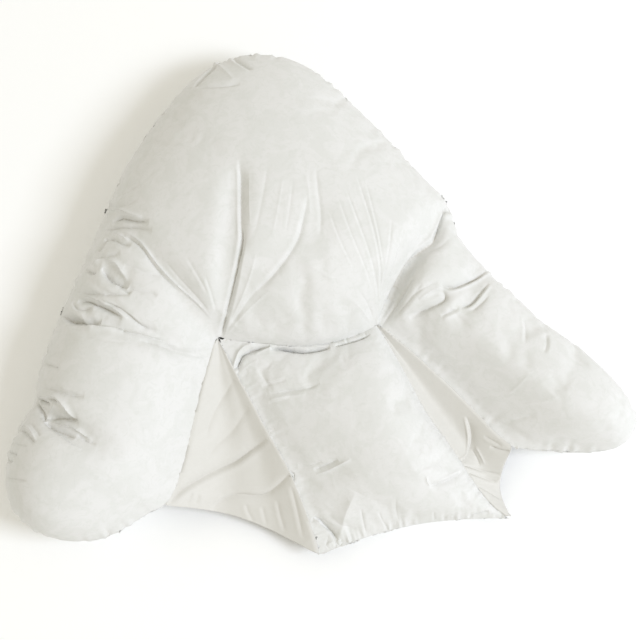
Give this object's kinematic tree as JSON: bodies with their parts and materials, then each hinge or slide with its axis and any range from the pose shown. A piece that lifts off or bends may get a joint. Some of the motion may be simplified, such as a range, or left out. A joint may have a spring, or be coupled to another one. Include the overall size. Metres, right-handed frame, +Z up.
{
  "type": "winged support pillow",
  "caption": "Feather-filled winged support pillow with a wide head and a filled lumbar pad, joined to its wings by unfilled gussets, lying on its back.",
  "frame": {"origin": "on the table, under the middle of the pillow's plan outline", "axes": "+X towards the right wing, +Y towards the head, +Z up from the table to the side that the sitter leans on"},
  "size_m": [0.906, 0.7482, 0.1746],
  "materials": {
    "filled_cotton": "white down-proof cotton over feather filling, faintly mottled",
    "bare_cotton": "unfilled cream-white cotton"
  },
  "bodies": {
    "root": {"winged_cushion": "filled_cotton", "lumbar_pad": "filled_cotton", "left_gusset": "bare_cotton", "right_gusset": "bare_cotton"}
  },
  "joints": []
}
